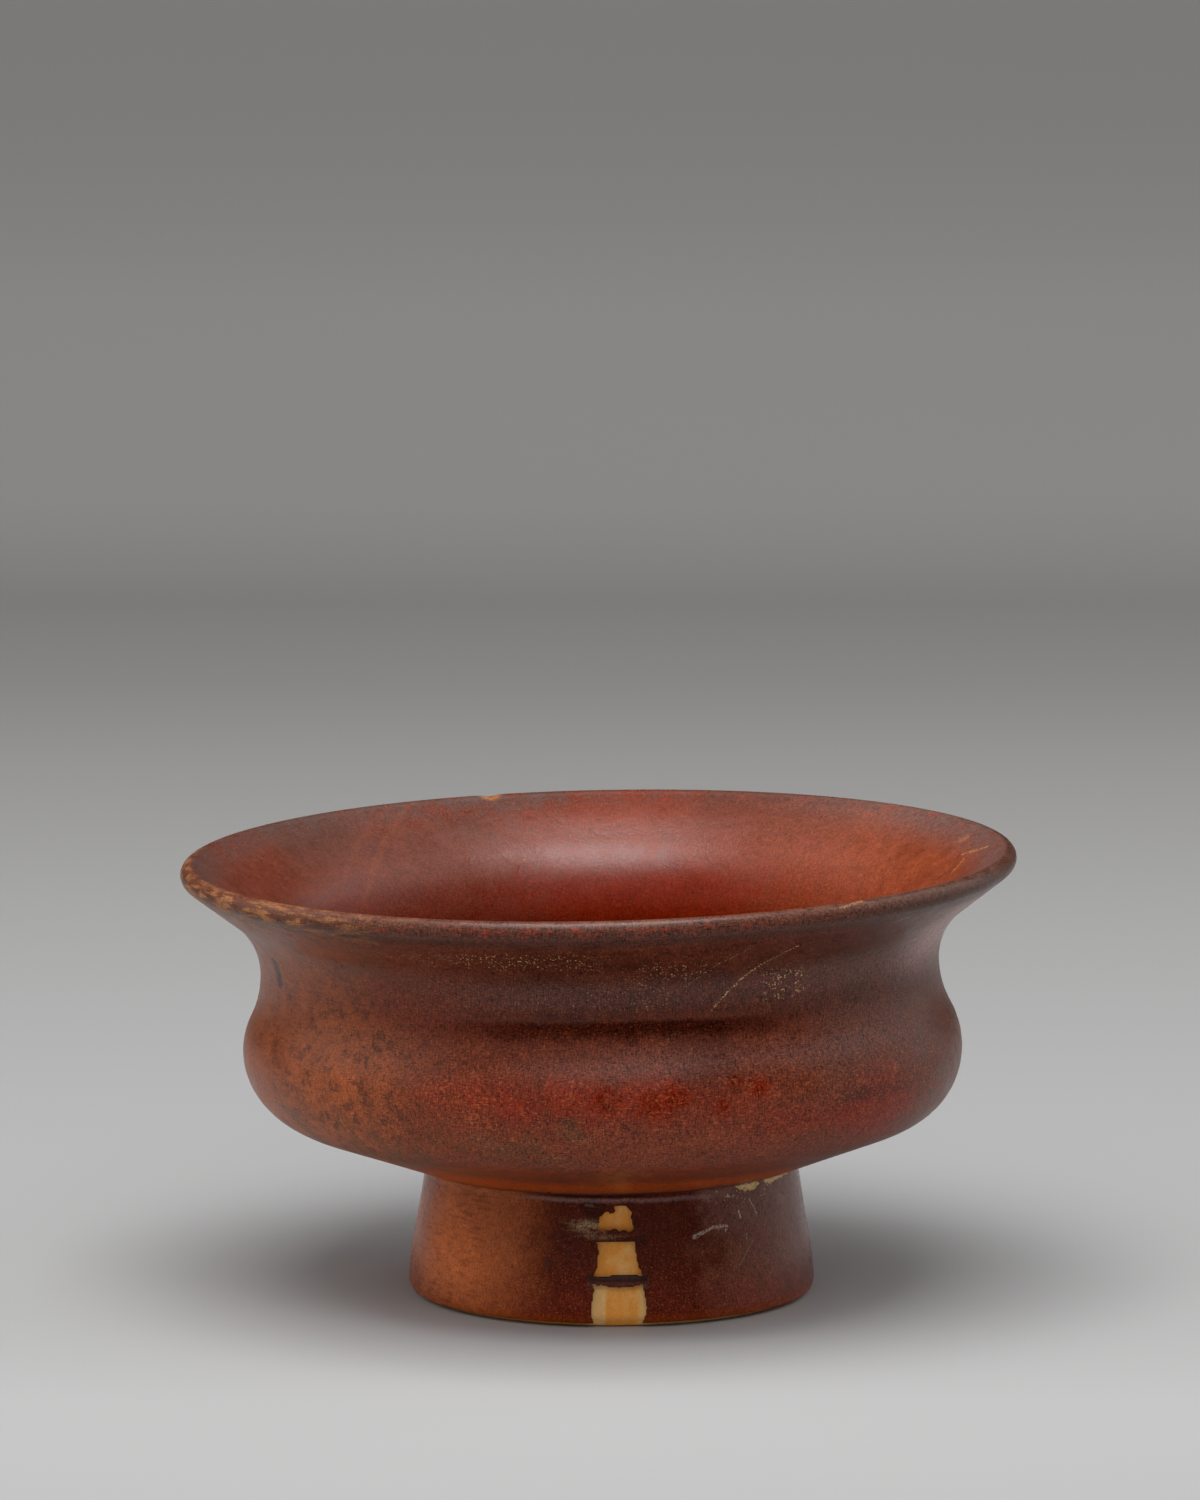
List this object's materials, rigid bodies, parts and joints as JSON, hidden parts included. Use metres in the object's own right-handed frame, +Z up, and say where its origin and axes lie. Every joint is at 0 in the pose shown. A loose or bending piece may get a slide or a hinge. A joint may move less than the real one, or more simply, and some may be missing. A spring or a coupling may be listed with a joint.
{
  "type": "footed bowl",
  "caption": "Round footed clay bowl with a swelling belly, drawn-in neck, flared lip and hollow foot ring, under a red-brown gloss slip, for serving food or for display.",
  "frame": {"origin": "centre of the flat standing ring under the foot, on the surface that the bowl stands on", "axes": "+Z up along the foot's axis, -Y towards the side that carries the flaked places of the foot, +X away from the bowl's slight lean"},
  "size_m": [0.125, 0.125, 0.0676],
  "materials": {
    "clay": "matte",
    "luting": "matte",
    "red_gloss": "gloss"
  },
  "bodies": {
    "root": {"bowl_body": "clay", "foot_body": "clay", "luting_slip": "luting", "bowl_slip_coat": "red_gloss", "foot_slip_coat": "red_gloss"}
  },
  "joints": []
}
